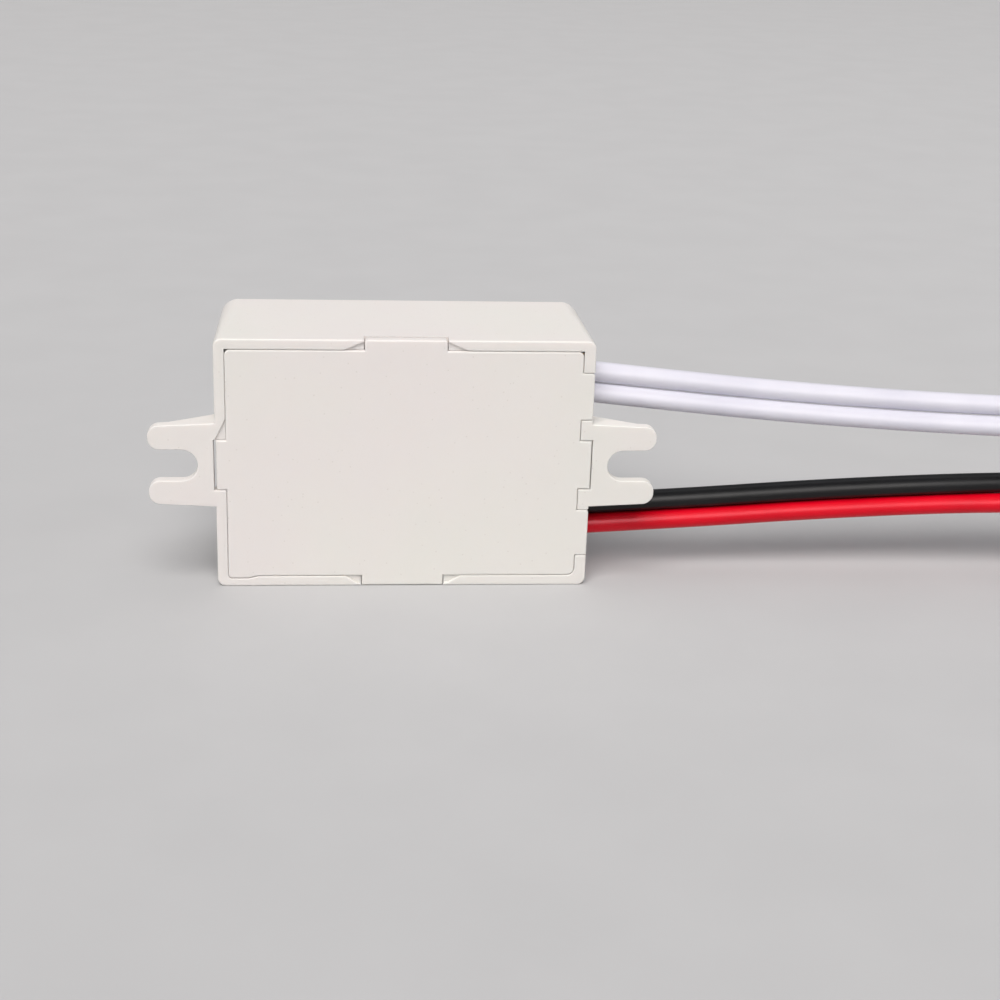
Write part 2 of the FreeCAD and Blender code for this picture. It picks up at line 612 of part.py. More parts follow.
# rectifier diodes, four alike
diodes, wires = [], []
for dx, dz in ((11.3, 15.2), (1.9, 15.2), (11.3, 18.3), (1.9, 18.3)):
    d = cylinder("diode", S["diode_radius"], S["diode_long"], at(dx - S["diode_long"] / 2, board_in + 1.5, dz), "X")
    diodes.append(round_edges("diode_rounded", d, 0.25, lambda e: near(e.BoundBox.XLength, 0)))
    wires += axial_wire("diode_wire", dx, dz, S["diode_long"].v / 2, 3.81, board_in.v + 1.5, 0.38, foot=0.86)
keep(group("diodes", diodes), "rectifier_diodes")
keep(group("diode_wires", wires), "rectifier_diode_wires")

# zener diode
zx, zz = -12.2, 28.3
z = cylinder("zener", S["zener_radius"], S["zener_long"], at(zx - S["zener_long"] / 2, board_in + 1.1, zz), "X")
z = round_edges("zener_rounded", z, 0.3, lambda e: near(e.BoundBox.XLength, 0))
keep(z, "zener_diode")
keep(group("zener_wires", axial_wire("zener_wire", zx, zz, S["zener_long"].v / 2, 3.81, board_in.v + 1.1, S["thin_pin"])), "zener_diode_wires")

# resistors, alike: a waisted body with two end caps
resistors, wires = [], []
for rx, rz in ((-7.6, 13.95), (-7.6, 16.45), (-7.6, 18.95)):
    rl = S["resistor_long"]
    r = fuse("resistor", [
        cylinder("resistor_body", S["resistor_radius"] - 0.2, rl - 0.4, at(rx - rl / 2 + 0.2, board_in + 1.3, rz), "X"),
        round_edges("resistor_cap", cylinder("resistor_end", S["resistor_radius"], 1.7, at(rx - rl / 2, board_in + 1.3, rz), "X"), 0.4, lambda e: near(e.BoundBox.XLength, 0)),
        round_edges("resistor_cap", cylinder("resistor_end", S["resistor_radius"], 1.7, at(rx + rl / 2 - 1.7, board_in + 1.3, rz), "X"), 0.4, lambda e: near(e.BoundBox.XLength, 0)),
    ])
    resistors.append(r)
    wires += axial_wire("resistor_wire", rx, rz, rl.v / 2, 3.81, board_in.v + 1.3, S["thin_pin"])
keep(group("resistors_group", resistors), "resistors")
keep(group("resistor_wires_group", wires), "resistor_wires")

# fusible resistor at the mains side, between the two pairs of leads
ux, uz = 18.9, 16.0
u = cylinder("fuse_body", S["fuse_radius"], S["fuse_long"], at(ux, board_in + 1.8, uz - S["fuse_long"] / 2), "Z")
u = round_edges("fuse_rounded", u, 0.5, lambda e: near(e.BoundBox.ZLength, 0))
keep(u, "fusible_resistor")
keep(group("fuse_wires", axial_wire("fuse_wire", ux, uz, S["fuse_long"].v / 2, 5.2, board_in.v + 1.8, S["pin_radius"], along="Z")), "fusible_resistor_wires")

# control chip, eight legs in two rows
gx, gz = -16.2, 16.45
chip = box("chip_block", S["chip_wide"], S["chip_tall"], S["chip_long"],
           at(gx - S["chip_wide"] / 2, board_in + 0.5, gz - S["chip_long"] / 2))
chip = round_edges("chip_rounded", chip, 0.25, lambda e: True)
chip = cut("chip_notched", chip, cylinder("chip_notch", 0.8, 0.6, at(gx, board_in + 0.5 + S["chip_tall"] - 0.5, gz + S["chip_long"] / 2)))
keep(chip, "control_chip")
legs = []
for sign in (1, -1):
    for k in range(4):
        lz = gz - 3.81 + 2.54 * k
        lx = gx + sign * 3.81
        shoulder = box("chip_shoulder", 0.74, 0.25, 1.1,
                       at(lx - 0.61 if sign > 0 else lx - 0.13, board_in + 2.0, lz - 0.55))
        drop = box("chip_drop", 0.26, S["board_thick"] + 2.25, 0.5, at(lx - 0.13, board_out, lz - 0.25))
        legs.append(fuse("chip_leg", [shoulder, drop]))
        pins.append((lx, lz, 0.28, 0.78))
keep(group("chip_legs", legs), "control_chip_legs")

# transistors, two alike: a round back and a flat front
transistors, legs = [], []
for qx, qz, side_z, stand in ((-8.5, 9.7, -1, 2.5), (-12.3, 22.6, 1, 4.0)):
    back = cylinder("transistor_back", 2.3, 4.6, at(qx, board_in + stand, qz))
    flat_z = qz - 3.3 if side_z < 0 else qz + 1.3
    t = cut("transistor", back, box("transistor_flat", 6, 6, 2.0, at(qx - 3, board_in + stand - 0.7, flat_z)))
    transistors.append(t)
    for k in (-1.27, 0, 1.27):
        legs.append(pin("transistor_leg", qx + k, qz, board_in + stand, S["thin_pin"], foot=0.58))
keep(group("transistors_group", transistors), "transistors")
keep(group("transistor_legs_group", legs), "transistor_legs")

# ceramic disc capacitors, two alike
discs, legs = [], []
d = cylinder("disc", 2.4, 1.8, at(-17.6, board_in + 3.0, 21.5), "Z")
discs.append(round_edges("disc_rounded", d, 0.7, lambda e: near(e.BoundBox.ZLength, 0)))
legs += [pin("disc_leg", -17.6 - 1.0, 22.4, board_in + 0.75, S["thin_pin"]), pin("disc_leg", -17.6 + 1.0, 22.4, board_in + 0.75, S["thin_pin"])]
d = cylinder("disc", 2.1, 1.8, at(-20.5, board_in + 2.8, 25.6), "X")
discs.append(round_edges("disc_rounded", d, 0.7, lambda e: near(e.BoundBox.XLength, 0)))
legs += [pin("disc_leg", -19.6, 25.6 - 1.0, board_in + 0.85, S["thin_pin"]), pin("disc_leg", -19.6, 25.6 + 1.0, board_in + 0.85, S["thin_pin"])]
keep(group("ceramic_group", discs), "ceramic_capacitors")
keep(group("ceramic_legs_group", legs), "ceramic_capacitor_legs")

# microphone on two legs, its face just under the port
mic_out = DEEP - S["roof"] - 0.15
mic_in = mic_out - S["mic_long"]
m = cylinder("mic", S["mic_radius"], S["mic_long"], at(MIC[0], mic_in, MIC[1]))
m = round_edges("mic_rounded", m, 0.35, lambda e: near(e.BoundBox.YLength, 0) and e.BoundBox.YMin > mic_in.v - HALF_DEEP.v + 1)
m = cut("mic_can", m, cylinder("mic_face", 1.9, 0.5, at(MIC[0], mic_out - 0.3, MIC[1])))
keep(m, "microphone_can")
keep(cylinder("felt", 1.9, 0.25, at(MIC[0], mic_out - 0.3, MIC[1])), "microphone_felt")
keep(group("mic_legs_group", [pin("mic_leg", MIC[0] - 1.27, MIC[1], mic_in, S["thin_pin"]),
                             pin("mic_leg", MIC[0] + 1.27, MIC[1], mic_in, S["thin_pin"])]), "microphone_legs")

# light sensor: a disc in the roof's opening, legs in sleeves
light_out = DEEP - 0.35
light_in = light_out - S["light_thick"]
disc = cylinder("light_disc", S["light_radius"], S["light_thick"], at(LIGHT[0], light_in, LIGHT[1]))
# the two flats of the disc
disc = cut("light_flat_one", disc, box("light_side", 6, 3, 2, at(LIGHT[0] - 3, light_in - 0.5, LIGHT[1] + 2.15)))
disc = cut("light_flat_two", disc, box("light_side", 6, 3, 2, at(LIGHT[0] - 3, light_in - 0.5, LIGHT[1] - 4.15)))
keep(disc, "light_sensor")
keep(group("light_legs_group", [pin("light_leg", LIGHT[0] - 1.7, LIGHT[1], light_in, S["thin_pin"]),
                               pin("light_leg", LIGHT[0] + 1.7, LIGHT[1], light_in, S["thin_pin"])]), "light_sensor_legs")
tubes = []
for sign in (-1, 1):
    tubes.append(cut("light_sleeve", cylinder("light_sleeve_out", 0.62, 11.5, at(LIGHT[0] + 1.7 * sign, board_in + 1.0, LIGHT[1])),
                     cylinder("light_sleeve_in", 0.32, 13.0, at(LIGHT[0] + 1.7 * sign, board_in + 0.5, LIGHT[1]))))
keep(group("light_sleeves", tubes), "light_sensor_sleeves")

# ================================================================ relay
# A single normally-open contact: an upright coil pulls the armature down to its pole, and the
# leaf on the armature carries the moving contact onto the fixed one.
rx, rz = 5.6, 8.6
rin = board_in + 0.3
w = S["relay_wall"]
outer = box("relay_case_out", S["relay_long"], S["relay_tall"], S["relay_wide"],
            at(rx - S["relay_long"] / 2, rin, rz - S["relay_wide"] / 2))
outer = round_edges("relay_case_rounded", outer, 0.5, lambda e: e.BoundBox.YMax > rin.v - HALF_DEEP.v + 1)
inner = box("relay_case_in", S["relay_long"] - w * 2, S["relay_tall"] - w + 1, S["relay_wide"] - w * 2,
            at(rx - S["relay_long"] / 2 + w, rin - 1, rz - S["relay_wide"] / 2 + w))
keep(cut("relay_case_cut", outer, inner), "relay_case")

bl, bw = S["relay_long"] - w * 2 - 0.2, S["relay_wide"] - w * 2 - 0.2
base_in = rin + S["relay_base_thick"]
base = box("relay_base_block", bl, S["relay_base_thick"], bw, at(rx - bl / 2, rin, rz - bw / 2))
relay_pin_at = [(rx - 3.5, 12.2), (rx - 3.5, 5.0), (rx - 6.3, 10.7)]  # coil, coil, common
blade_x = rx + 7.4
holes = [cylinder("relay_base_hole", 0.45, 4, at(x, rin - 1, zz)) for x, zz in relay_pin_at]
holes.append(box("relay_base_slot", 0.6, 4, 1.9, at(blade_x + 1.15 - 0.3, rin - 1, rz - 0.95)))
keep(cut("relay_base_cut", base, fuse("relay_base_holes", holes)), "relay_base")

core_x = rx - 1.9
yoke_x = rx - 7.3          # inner face of the upright leg
leg_t = S["plate_thick"]
yoke_low = base_in + 0.05
leg_top = rin + 11.2   # where the armature rocks
arm_t = 0.9
pole_top = leg_top - 0.5
yoke_foot = box("yoke_foot", core_x + 2.8 - yoke_x + leg_t, leg_t, 6.0, at(yoke_x - leg_t, yoke_low, rz - 3.0))
yoke_leg = box("yoke_leg", leg_t, leg_top - yoke_low, 6.0, at(yoke_x - leg_t, yoke_low, rz - 3.0))
yoke = cut("yoke_cut", fuse("yoke_angle", [yoke_foot, yoke_leg]),
           cylinder("yoke_core_hole", S["core_radius"], 3, at(core_x, yoke_low - 1, rz)))
keep(yoke, "relay_yoke")
core = fuse("core_fuse", [cylinder("core_shank", S["core_radius"], pole_top - 0.6 - yoke_low, at(core_x, yoke_low, rz)),
                          cylinder("core_pole", S["pole_radius"], 0.6, at(core_x, pole_top - 0.6, rz))])
keep(core, "relay_core")
spool_low = yoke_low + leg_t + 0.05
spool_top = pole_top - 0.65
spool = fuse("bobbin_fuse", [
    cylinder("bobbin_low", S["coil_radius"] + 0.3, 0.6, at(core_x, spool_low, rz)),
    cylinder("bobbin_top", S["coil_radius"] + 0.3, 0.6, at(core_x, spool_top - 0.6, rz)),
    cylinder("bobbin_hub", S["core_radius"] + 0.7, spool_top - spool_low, at(core_x, spool_low, rz))])
keep(cut("bobbin_cut", spool, cylinder("bobbin_bore", S["core_radius"] + 0.05, 14, at(core_x, spool_low - 1, rz))), "relay_bobbin")
keep(cut("coil_cut", cylinder("coil_out", S["coil_radius"], spool_top - spool_low - 1.3, at(core_x, spool_low + 0.65, rz)),
         cylinder("coil_in", S["core_radius"] + 0.75, 14, at(core_x, spool_low - 1, rz))), "relay_coil")

# armature: rocks on the top edge of the yoke's leg; its leaf carries the moving contact
armature = box("armature_plate", core_x + 2.9 - (yoke_x - leg_t), arm_t, 5.8, at(yoke_x - leg_t, leg_top + 0.03, rz - 2.9))
armature = round_edges("armature_rounded", armature, 0.2, lambda e: near(e.BoundBox.XLength, 0) and near(e.BoundBox.ZLength, 0))
keep(armature, "relay_armature")
leaf_in = leg_top + 0.03 + arm_t
contact_x = blade_x - 0.2
leaf = fuse("leaf_fuse", [box("leaf_wide", 6.0, S["leaf_thick"], 4.6, at(rx - 6.3, leaf_in, rz - 2.3)),
                          box("leaf_arm", blade_x + 1.2 - rx + 0.9, S["leaf_thick"], 2.8, at(rx - 0.9, leaf_in, rz - 1.4))])
keep(cut("leaf_cut", leaf, cylinder("leaf_hole", 0.5, 1, at(contact_x, leaf_in - 0.4, rz))), "relay_contact_leaf")
keep(fuse("moving_rivet", [cylinder("moving_head", S["contact_radius"], 0.45, at(contact_x, leaf_in - 0.45, rz)),
                           cylinder("moving_shank", 0.5, 0.3, at(contact_x, leaf_in - 0.1, rz)),
                           cylinder("moving_tail", 0.75, 0.2, at(contact_x, leaf_in + S["leaf_thick"], rz))]), "relay_moving_contact")
fixed_in = leaf_in - 0.45 - 0.62   # top of the fixed contact
blade = fuse("blade_fuse", [
    box("blade_upright", 0.5, fixed_in - 0.45 - board_out, 1.8, at(blade_x + 1.15 - 0.25, board_out, rz - 0.9)),
    box("blade_foot", 2.6, 0.4, 1.8, at(blade_x + 1.4 - 2.6, fixed_in - 0.45 - 0.4, rz - 0.9))])
keep(blade, "relay_fixed_blade")
keep(cylinder("fixed_rivet", S["contact_radius"], 0.45, at(contact_x, fixed_in - 0.45, rz)), "relay_fixed_contact")
pins.append((blade_x + 1.15, rz, 0.95, 1.0))

relay_pins = [pin("relay_pin", x, zz, top, 0.4 if top is yoke_low else 0.35)
              for (x, zz), top in zip(relay_pin_at, (spool_low, spool_low, yoke_low))]
keep(group("relay_pins_group", relay_pins), "relay_pins")
spring = fuse("hinge_spring_fuse", [
    box("spring_back", 0.2, 6.0, 3.4, at(yoke_x - leg_t - 0.35, leg_top - 4.6, rz - 1.7)),
    box("spring_foot", 0.35, 0.9, 3.4, at(yoke_x - leg_t - 0.35, leg_top - 4.6, rz - 1.7))])
keep(spring, "relay_hinge_spring")

# ================================================================ leads
# Each lead starts on the board, leaves through its notch, runs out past the ear, and comes down
# to the surface that the box stands on. Points are x, depth behind the cover's face, height.
ROUTES = {
    "white_lead_upper": [(17.4, 6.33, 27.11), (34.0, 6.53, 25.23), (52.0, 5.98, 23.72), (72.0, 4.67, 22.81), (92.0, 2.90, 22.70), (110.0, 1.20, 10.50), (124.5, 0.25, 1.31), (138.5, 0.10, 1.31)],
    "white_lead_lower": [(17.4, 6.07, 24.46), (34.0, 5.86, 22.67), (52.0, 5.15, 21.20), (72.0, 3.85, 20.29), (91.0, 1.60, 20.29), (108.0, -0.90, 8.60), (122.0, -3.10, 1.31), (136.0, -4.70, 1.31)],
    "black_lead": [(17.4, 6.33, 8.40), (34.0, 6.51, 9.19), (54.0, 6.54, 10.60), (75.0, 5.96, 11.76), (95.0, 6.11, 11.77), (111.0, 6.90, 4.60), (125.0, 7.90, 1.31), (139.0, 9.00, 1.31)],
    "red_lead": [(17.4, 6.07, 5.76), (34.0, 5.80, 6.68), (54.0, 5.05, 8.40), (75.0, 4.45, 9.58), (94.0, 3.70, 10.05), (110.0, 3.85, 3.20), (123.5, 3.90, 1.31), (137.0, 4.40, 1.31)],
}
ENDS = {"white_lead_upper": "white_end_upper", "white_lead_lower": "white_end_lower", "black_lead": "black_end", "red_lead": "red_end"}
tails = []
for name, route in ROUTES.items():
    pts = [(x, d - HALF_DEEP.v, zz) for x, d, zz in route]
    o, length, radii, ratio = tube(name + "_tube", pts, S["lead_thick"].v)
    keep(o, name)
    print(name, "length %.1f" % length, "radii", [round(r, 1) for r in radii], "volume ratio %.4f" % ratio)
    # the stripped and tinned outer end
    a, b = V(*pts[-2]), V(*pts[-1])
    run = (b - a).normalize()
    end = doc.addObject("Part::Cylinder", ENDS[name] + "_wire")
    bind(end, "Radius", S["wire_thick"] / 2)
    end.Height = 7.0
    end.Placement = FreeCAD.Placement(b, FreeCAD.Rotation(V(0, 0, 1), run))
    keep(end, ENDS[name])
    # the stripped tail that goes down into the board
    p0 = V(*pts[0])
    back = (V(*pts[0]) - V(*pts[1])).normalize()
    p1 = p0 + back * 1.05
    p2 = V(p1.x, board_out.v - HALF_DEEP.v, p1.z)
    t, _, _, _ = tube("lead_tail", [tuple(p0), tuple(p1), tuple(p2)], S["wire_thick"].v, radius=0.8)
    tails.append(t)
    pins.append((p1.x, p1.z, 0.5, 0.95))
keep(group("lead_tails_group", tails), "lead_tails")

# ================================================================ circuit board and solder joints
bx, bz0 = S["board_long"] / 2, (HIGH - S["board_high"]) / 2
board = box("board_blank", S["board_long"], S["board_thick"], S["board_high"], at(-bx, board_out, bz0))
board = round_edges("board_corners", board, 0.8, lambda e: near(e.BoundBox.XLength, 0) and near(e.BoundBox.ZLength, 0))
holes = []
for x, zz, r, foot in pins:
    if r > 0.9:
        holes.append(box("board_slot", 0.7, 3, 2.0, at(x - 0.35, board_out - 0.5, zz - 1.0)))
    else:
        holes.append(cylinder("board_hole", S["tail_hole"] if r > 0.45 else S["pin_hole"] - (0.08 if r < 0.3 else 0), 3, at(x, board_out - 0.5, zz)))
holes.append(box("board_notch_top", 10.4, 3, 3, at(-5.2, board_out - 0.5, 28.85)))
holes.append(box("board_notch_low", 10.4, 3, 3, at(-5.2, board_out - 0.5, 0.15)))
keep(cut("board_cut", board, group("board_holes", holes)), "circuit_board")

joints = []
for x, zz, r, foot in pins:
    top = 0.7 if r > 0.9 else min(0.38, r + 0.05)
    fillet = cone("joint_fillet", top, foot, 0.85, at(x, board_out - 0.85, zz))
    tip = cylinder("joint_tip", top - 0.08, 0.3, at(x, board_out - 1.1, zz))
    joints.append(fuse("joint", [fillet, tip]))
keep(group("solder_group", joints), "solder_joints")

# ================================================================ checks, then the files
doc.recompute()
problems = []
for o in doc.Objects:
    state = getattr(o, "State", [])
    if "Invalid" in state or "Error" in state:
        problems.append("%s is %s" % (o.Label, state))
for o in nodes:
    s = o.Shape
    if s.isNull() or not s.isValid():
        problems.append("%s has a bad shape" % o.Label)
    elif not s.Solids:
        problems.append("%s has no solid" % o.Label)
if problems:
    raise RuntimeError("; ".join(problems))
os.makedirs("parts", exist_ok=True)
for o in nodes:
    o.Shape.exportStep("parts/%s.step" % o.Label)
print(len(nodes), "nodes", sum(len(o.Shape.Solids) for o in nodes), "solids")
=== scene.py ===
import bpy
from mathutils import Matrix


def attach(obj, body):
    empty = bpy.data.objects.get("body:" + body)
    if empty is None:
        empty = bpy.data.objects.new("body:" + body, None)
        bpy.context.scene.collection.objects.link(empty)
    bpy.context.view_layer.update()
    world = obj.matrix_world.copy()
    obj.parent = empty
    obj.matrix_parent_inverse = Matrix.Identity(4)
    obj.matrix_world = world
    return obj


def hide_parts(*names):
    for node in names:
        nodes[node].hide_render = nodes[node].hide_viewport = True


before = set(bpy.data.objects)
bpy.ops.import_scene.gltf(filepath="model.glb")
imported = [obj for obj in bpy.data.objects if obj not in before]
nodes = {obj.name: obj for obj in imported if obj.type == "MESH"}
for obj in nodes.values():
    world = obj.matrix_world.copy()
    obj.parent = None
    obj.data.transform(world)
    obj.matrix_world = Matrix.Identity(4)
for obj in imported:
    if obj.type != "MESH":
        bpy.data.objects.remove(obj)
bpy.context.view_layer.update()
import bpy
import bmesh
import math
from mathutils import Vector, Matrix

# Sound and light sensor switch: the looks. Everything is in metres, in the frame of the solid model:
# +X along the box towards the leads, +Y from the cover to the roof, +Z up from the wall it stands on.
scene = bpy.context.scene
scene.view_settings.view_transform = "Standard"
MM = 0.001


def P(x, depth, z):
    """A point from its place along the box, its depth behind the cover's face and its height, all in mm."""
    return Vector((x * MM, (depth - 10.5) * MM, z * MM))


# ---------------------------------------------------------------- camera, at the photograph's angle
yaw, pitch, roll = math.radians(5.6494), math.radians(20.5579), math.radians(1.9802)
fwd = Vector((math.sin(yaw) * math.cos(pitch), math.cos(yaw) * math.cos(pitch), -math.sin(pitch)))
right = Vector((math.cos(yaw), -math.sin(yaw), 0))
up = right.cross(fwd)
r2 = right * math.cos(roll) + up * math.sin(roll)
u2 = -right * math.sin(roll) + up * math.cos(roll)
cam_data = bpy.data.cameras.new("camera")
cam_data.sensor_width = 36.0
cam_data.lens = 65.96
cam_data.clip_start = 0.01
cam_data.clip_end = 20.0
cam = bpy.data.objects.new("camera", cam_data)
scene.collection.objects.link(cam)
cam.matrix_world = Matrix((
    (r2.x, u2.x, -fwd.x, -9.115 * MM),
    (r2.y, u2.y, -fwd.y, -223.129 * MM),
    (r2.z, u2.z, -fwd.z, 91.640 * MM),
    (0, 0, 0, 1)))
scene.camera = cam


# ---------------------------------------------------------------- materials
def is_socket(v):
    return isinstance(v, bpy.types.NodeSocket)


class Mat:
    """A small helper for building a procedural material."""

    def __init__(self, name, **kw):
        self.m = bpy.data.materials.new(name)
        self.m.use_nodes = True
        self.t = self.m.node_tree
        self.t.nodes.clear()
        self.out = self.t.nodes.new("ShaderNodeOutputMaterial")
        self.b = self.t.nodes.new("ShaderNodeBsdfPrincipled")
        self.t.links.new(self.b.outputs[0], self.out.inputs[0])
        self.co = self.t.nodes.new("ShaderNodeTexCoord")
        self.put(**kw)

    def put(self, **kw):
        names = {"metal": "Metallic", "rough": "Roughness", "ior": "IOR", "coat": "Coat Weight", "coat_rough": "Coat Roughness",
                 "sss": "Subsurface Weight", "sss_scale": "Subsurface Scale", "trans": "Transmission Weight", "alpha": "Alpha",
                 "sheen": "Sheen Weight", "aniso": "Anisotropic", "spec": "Specular IOR Level"}
        for k, v in kw.items():
            self.b.inputs[names[k]].default_value = v
        self.b.inputs["Subsurface Radius"].default_value = (1.0, 0.93, 0.88)
        return self

    def link(self, a, b):
        self.t.links.new(a, b)

    def place(self, stretch=(1, 1, 1), offset=(0, 0, 0)):
        mp = self.t.nodes.new("ShaderNodeMapping")
        mp.inputs["Scale"].default_value = stretch
        mp.inputs["Location"].default_value = offset
        self.link(self.co.outputs["Object"], mp.inputs[0])
        return mp.outputs[0]

    def noise(self, scale, detail=3.0, rough=0.5, stretch=(1, 1, 1), distort=0.0, offset=(0, 0, 0)):
        n = self.t.nodes.new("ShaderNodeTexNoise")
        n.inputs["Scale"].default_value = scale
        n.inputs["Detail"].default_value = detail
        n.inputs["Roughness"].default_value = rough
        n.inputs["Distortion"].default_value = distort
        self.link(self.place(stretch, offset), n.inputs["Vector"])
        return n.outputs["Fac"]

    def voronoi(self, scale, feature="F1", stretch=(1, 1, 1)):
        n = self.t.nodes.new("ShaderNodeTexVoronoi")
        n.feature = feature
        n.inputs["Scale"].default_value = scale
        self.link(self.place(stretch), n.inputs["Vector"])
        return n.outputs["Distance"]

    def axis(self, which):
        """One coordinate of the surface, in metres."""
        n = self.t.nodes.new("ShaderNodeSeparateXYZ")
        self.link(self.co.outputs["Object"], n.inputs[0])
        return n.outputs["XYZ".index(which)]

    def span(self, fac, lo, hi, f0=0.0, f1=1.0):
        n = self.t.nodes.new("ShaderNodeMapRange")
        n.inputs["From Min"].default_value = f0
        n.inputs["From Max"].default_value = f1
        n.inputs["To Min"].default_value = lo
        n.inputs["To Max"].default_value = hi
        self.link(fac, n.inputs["Value"])
        return n.outputs[0]

    def ramp(self, fac, stops, sharp=False):
        n = self.t.nodes.new("ShaderNodeValToRGB")
        if sharp:
            n.color_ramp.interpolation = "CONSTANT"
        e = n.color_ramp.elements
        while len(e) > 1:
            e.remove(e[-1])
        e[0].position = stops[0][0]
        e[0].color = (*stops[0][1], 1)
        for p, c in stops[1:]:
            q = e.new(p)
            q.color = (*c, 1)
        self.link(fac, n.inputs[0])
        return n.outputs[0]

    def mix(self, fac, a, b, mode="MIX"):
        n = self.t.nodes.new("ShaderNodeMix")
        n.data_type = "RGBA"
        n.blend_type = mode
        for sock, v in ((n.inputs["Factor"], fac), (n.inputs[6], a), (n.inputs[7], b)):
            if is_socket(v):
                self.link(v, sock)
            elif isinstance(v, (int, float)):
                sock.default_value = v
            else:
                sock.default_value = (*v, 1)
        return n.outputs[2]

    def math(self, op, a, b=0.0, c=0.0):
        n = self.t.nodes.new("ShaderNodeMath")
        n.operation = op
        for i, v in enumerate((a, b, c)):
            if is_socket(v):
                self.link(v, n.inputs[i])
            else:
                n.inputs[i].default_value = v
        return n.outputs[0]

    def between(self, value, lo, hi):
        """1 where the value is in the range."""
        return self.math("COMPARE", value, (lo + hi) / 2, (hi - lo) / 2)

    def stripes(self, which, pitch):
        """A height that repeats along an axis, like turns of wire or ribs."""
        return self.math("ABSOLUTE", self.math("SINE", self.math("MULTIPLY", self.axis(which), math.pi / pitch)))

    def color(self, sock):
        if is_socket(sock):
            self.link(sock, self.b.inputs["Base Color"])
        else:
            self.b.inputs["Base Color"].default_value = (*sock, 1)
        return self

    def feed(self, name, sock):
        self.link(sock, self.b.inputs[name])
        return self

    def bump(self, height, distance, strength=1.0, under=None):
        """A bump over another one. The last one made shapes the surface."""
        n = self.t.nodes.new("ShaderNodeBump")
        n.inputs["Strength"].default_value = strength
        n.inputs["Distance"].default_value = distance
        self.link(height, n.inputs["Height"])
        if under is not None:
            self.link(under, n.inputs["Normal"])
        self.link(n.outputs[0], self.b.inputs["Normal"])
        return n.outputs[0]


def moulded(name, base, vary=0.03, tint=(0, 0, 0), rough=(0.42, 0.58), grain=3800, depth=0.00001, cloud=90, **kw):
    """Moulded plastic, lacquer or epoxy: a cloudy colour, a fine grain and uneven gloss."""
    m = Mat(name, **kw)
    lo = tuple(max(0.0, c * (1 - vary) - t) for c, t in zip(base, tint))
    hi = tuple(min(1.0, c * (1 + vary) + t) for c, t in zip(base, tint))
    m.color(m.ramp(m.noise(cloud, 4, 0.55), [(0.3, lo), (0.5, base), (0.7, hi)]))
    m.feed("Roughness", m.span(m.noise(700, 4, 0.6), *rough))
    wave = m.bump(m.noise(170, 2, 0.5), 0.00004, 0.4)
    m.bump(m.noise(grain, 3, 0.6), depth, 0.7, under=wave)
    return m


def metal(name, base, rough=(0.22, 0.4), streak=(1, 1, 1), depth=0.000006, **kw):
    m = Mat(name, metal=1.0, **kw)
    dark = tuple(c * 0.82 for c in base)
    m.color(m.ramp(m.noise(380, 4, 0.6), [(0.32, dark), (0.62, base)]))
    m.feed("Roughness", m.span(m.noise(900, 4, 0.6, stretch=streak), *rough))
    m.bump(m.noise(2600, 3, 0.6, stretch=streak), depth, 0.6)
    return m


def dress(node, material, *more):
    """Gives a node its material. The node keeps its own shape."""
    o = nodes[node]
    o.data.materials.clear()
    for m in (material, *more):
        o.data.materials.append(m.m)
    return o


def piece(name, bm, material, body, smooth=True):
    """A new mesh piece that rides on a body."""
    me = bpy.data.meshes.new(name)
    bm.to_mesh(me)
    bm.free()
    o = bpy.data.objects.new(name, me)
    scene.collection.objects.link(o)
    me.materials.append(material.m)
    if smooth:
        for p in me.polygons:
            p.use_smooth = True
    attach(o, body)
    return o


# ---------------------------------------------------------------- leads: the same routes as the solids
ROUTES = {
    "white_lead_upper": [(17.4, 6.33, 27.11), (34.0, 6.53, 25.23), (52.0, 5.98, 23.72), (72.0, 4.67, 22.81), (92.0, 2.90, 22.70), (110.0, 1.20, 10.50), (124.5, 0.25, 1.31), (138.5, 0.10, 1.31)],
    "white_lead_lower": [(17.4, 6.07, 24.46), (34.0, 5.86, 22.67), (52.0, 5.15, 21.20), (72.0, 3.85, 20.29), (91.0, 1.60, 20.29), (108.0, -0.90, 8.60), (122.0, -3.10, 1.31), (136.0, -4.70, 1.31)],
    "black_lead": [(17.4, 6.33, 8.40), (34.0, 6.51, 9.16), (54.0, 6.54, 10.56), (75.0, 5.96, 11.72), (95.0, 6.11, 11.77), (111.0, 6.90, 4.60), (125.0, 7.90, 1.33), (139.0, 9.00, 1.33)],
    "red_lead": [(17.4, 6.07, 5.76), (34.0, 6.31, 6.50), (54.0, 6.34, 7.90), (75.0, 5.74, 9.06), (94.0, 3.70, 9.60), (110.0, 3.85, 3.20), (123.5, 3.90, 1.33), (137.0, 4.40, 1.33)],
}
ENDS = {"white_lead_upper": "white_end_upper", "white_lead_lower": "white_end_lower", "black_lead": "black_end", "red_lead": "red_end"}
THICK = {"white": 0.00258, "black": 0.00264, "red": 0.00264}


def insulation(name, base, dark, light, rough, spec, scuff, scuff_amount):
    """Extruded insulation: soft gloss, faint lines along the lead, a few dull rubbed places."""
    m = Mat(name, spec=spec)
    tone = m.ramp(m.noise(120, 4, 0.55), [(0.3, dark), (0.5, base), (0.72, light)])
    rubbed = m.span(m.noise(520, 6, 0.7, stretch=(0.25, 1, 1)), 0.0, scuff_amount, 0.56, 0.72)
    m.color(m.mix(rubbed, tone, scuff))
    m.feed("Roughness", m.math("ADD", m.span(m.noise(420, 4, 0.6), rough - 0.05, rough + 0.08), m.math("MULTIPLY", rubbed, 0.5)))
    soft = m.bump(m.noise(260, 2, 0.5, stretch=(0.35, 1, 1)), 0.00006, 0.5)
    m.bump(m.noise(2600, 2, 0.5, stretch=(0.1, 1, 1)), 0.000008, 0.6, under=soft)
    return m


